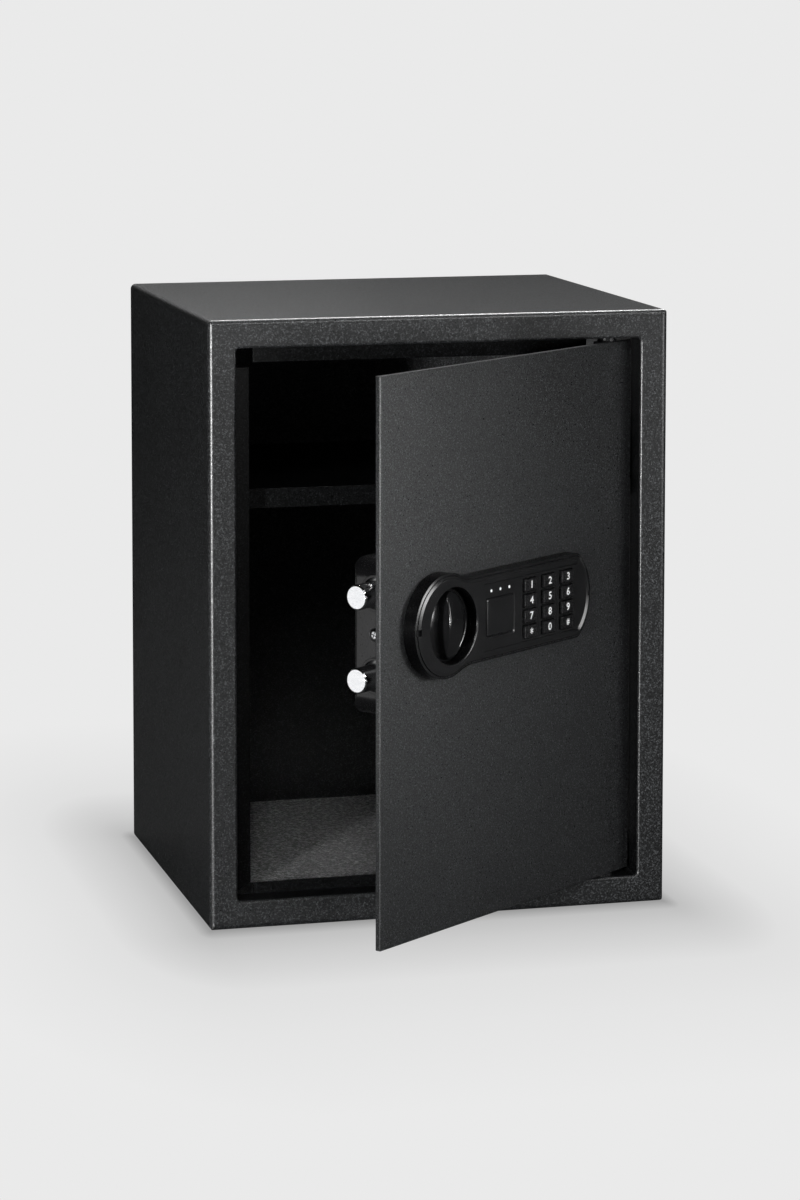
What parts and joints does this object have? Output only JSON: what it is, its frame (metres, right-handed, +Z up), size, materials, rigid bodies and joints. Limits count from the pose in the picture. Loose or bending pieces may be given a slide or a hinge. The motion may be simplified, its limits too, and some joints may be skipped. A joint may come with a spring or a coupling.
{
  "type": "home safe",
  "caption": "Sheet steel cabinet safe with a hinged door, electronic keypad lock, turning knob, round locking bolts, inner shelf and felt floor.",
  "frame": {"origin": "middle of the cabinet's underside", "axes": "+Z up, the door opening faces -Y, hinge on the +X side"},
  "size_m": [0.35, 0.4681, 0.45],
  "materials": {
    "powder_coat": "fine textured charcoal powder coat",
    "felt": "dark grey needle felt",
    "zinc": "bright zinc plated steel",
    "housing_black": "satin black moulding",
    "knob_black": "semi-gloss black",
    "lens": "clear white lamp lens",
    "silicone": "matt silicone rubber",
    "circuit_board": "green solder mask",
    "lock_brass": "turned brass",
    "bolt_chrome": "bright chrome plate",
    "copper": "enamelled copper winding",
    "cell_jacket": "plain printed jacket",
    "cover_black": "black moulding with a light sheen",
    "red_plastic": "smooth red",
    "key_rubber": "satin black rubber"
  },
  "bodies": {
    "cabinet": {"cabinet_shell": "powder_coat", "back_panel": "powder_coat", "door_frame": "powder_coat", "floor_deck": "powder_coat", "floor_mat": "felt", "shelf": "powder_coat", "shelf_supports": "powder_coat", "hinge_bushes": "zinc"},
    "door": {"door_panel": "powder_coat", "hinge_blocks": "powder_coat", "hinge_pins": "zinc", "keypad_housing": "housing_black", "housing_screws": "zinc", "led_lenses": "lens", "key_mat": "silicone", "keypad_board": "circuit_board", "keylock_body": "lock_brass", "keylock_nut": "lock_brass", "lock_chassis": "zinc", "chassis_nuts": "zinc", "carriage_guides": "zinc", "solenoid_frame": "zinc", "solenoid_coil": "copper", "plunger_spring": "zinc", "main_board": "circuit_board", "battery_holder": "housing_black", "batteries": "cell_jacket", "lock_cover": "cover_black", "cover_screws": "bolt_chrome", "keypad_lead": "silicone", "solenoid_lead": "red_plastic", "battery_lead": "red_plastic"},
    "turning_knob": {"knob": "knob_black", "knob_shaft": "zinc", "knob_cam": "zinc"},
    "bolt_work": {"bolt_carriage": "zinc", "upper_bolt": "bolt_chrome", "lower_bolt": "bolt_chrome"},
    "key_cylinder": {"keylock_core": "lock_brass", "keylock_cam": "zinc"},
    "keyhole_flap": {"keyhole_cover": "housing_black"},
    "plunger": {"solenoid_plunger": "zinc"},
    "battery_door": {"battery_lid": "cover_black"},
    "reset": {"reset_button": "red_plastic"},
    "key_1_body": {"key_1": "key_rubber"},
    "key_2_body": {"key_2": "key_rubber"},
    "key_3_body": {"key_3": "key_rubber"},
    "key_4_body": {"key_4": "key_rubber"},
    "key_5_body": {"key_5": "key_rubber"},
    "key_6_body": {"key_6": "key_rubber"},
    "key_7_body": {"key_7": "key_rubber"},
    "key_8_body": {"key_8": "key_rubber"},
    "key_9_body": {"key_9": "key_rubber"},
    "key_star_body": {"key_star": "key_rubber"},
    "key_0_body": {"key_0": "key_rubber"},
    "key_hash_body": {"key_hash": "key_rubber"}
  },
  "joints": [
    {"name": "door_swing", "type": "hinge", "parent": "cabinet", "child": "door", "pos_m": [0.13, -0.1405, 0.225], "axis": [0, 0, 1], "range_deg": [-37.5, 67.5]},
    {"name": "knob_turn", "type": "hinge", "parent": "door", "child": "turning_knob", "pos_m": [-0.03238, -0.27959, 0.2445], "axis": [0.6088, -0.7934, 0], "range_deg": [0, 90]},
    {"name": "bolt_slide", "type": "slide", "parent": "door", "child": "bolt_work", "axis": [-0.7934, -0.6088, 0], "range_m": [0, 0.02]},
    {"name": "key_turn", "type": "hinge", "parent": "door", "child": "key_cylinder", "pos_m": [0.00842, -0.24324, 0.2445], "axis": [0.6088, -0.7934, 0], "range_deg": [-90, 0]},
    {"name": "flap_pull", "type": "slide", "parent": "door", "child": "keyhole_flap", "axis": [0.6088, -0.7934, 0], "range_m": [0, 0.015]},
    {"name": "plunger_slide", "type": "slide", "parent": "door", "child": "plunger", "axis": [0, 0, 1], "range_m": [0, 0.006], "deforming": ["plunger_spring"]},
    {"name": "lid_pull", "type": "slide", "parent": "door", "child": "battery_door", "axis": [-0.6088, 0.7934, 0], "range_m": [0, 0.02]},
    {"name": "reset_press", "type": "slide", "parent": "door", "child": "reset", "axis": [0.6088, -0.7934, 0], "range_m": [0, 0.0012], "stiffness_N_per_m": 400},
    {"name": "key_1_press", "type": "slide", "parent": "door", "child": "key_1_body", "axis": [-0.6088, 0.7934, 0], "range_m": [0, 0.0006], "stiffness_N_per_m": 1500},
    {"name": "key_2_press", "type": "slide", "parent": "door", "child": "key_2_body", "axis": [-0.6088, 0.7934, 0], "range_m": [0, 0.0006], "stiffness_N_per_m": 1500},
    {"name": "key_3_press", "type": "slide", "parent": "door", "child": "key_3_body", "axis": [-0.6088, 0.7934, 0], "range_m": [0, 0.0006], "stiffness_N_per_m": 1500},
    {"name": "key_4_press", "type": "slide", "parent": "door", "child": "key_4_body", "axis": [-0.6088, 0.7934, 0], "range_m": [0, 0.0006], "stiffness_N_per_m": 1500},
    {"name": "key_5_press", "type": "slide", "parent": "door", "child": "key_5_body", "axis": [-0.6088, 0.7934, 0], "range_m": [0, 0.0006], "stiffness_N_per_m": 1500},
    {"name": "key_6_press", "type": "slide", "parent": "door", "child": "key_6_body", "axis": [-0.6088, 0.7934, 0], "range_m": [0, 0.0006], "stiffness_N_per_m": 1500},
    {"name": "key_7_press", "type": "slide", "parent": "door", "child": "key_7_body", "axis": [-0.6088, 0.7934, 0], "range_m": [0, 0.0006], "stiffness_N_per_m": 1500},
    {"name": "key_8_press", "type": "slide", "parent": "door", "child": "key_8_body", "axis": [-0.6088, 0.7934, 0], "range_m": [0, 0.0006], "stiffness_N_per_m": 1500},
    {"name": "key_9_press", "type": "slide", "parent": "door", "child": "key_9_body", "axis": [-0.6088, 0.7934, 0], "range_m": [0, 0.0006], "stiffness_N_per_m": 1500},
    {"name": "key_star_press", "type": "slide", "parent": "door", "child": "key_star_body", "axis": [-0.6088, 0.7934, 0], "range_m": [0, 0.0006], "stiffness_N_per_m": 1500},
    {"name": "key_0_press", "type": "slide", "parent": "door", "child": "key_0_body", "axis": [-0.6088, 0.7934, 0], "range_m": [0, 0.0006], "stiffness_N_per_m": 1500},
    {"name": "key_hash_press", "type": "slide", "parent": "door", "child": "key_hash_body", "axis": [-0.6088, 0.7934, 0], "range_m": [0, 0.0006], "stiffness_N_per_m": 1500}
  ],
  "couplings": [
    {"joint": "knob_turn", "follows": "bolt_slide", "rad_per_m": 78.54}
  ]
}
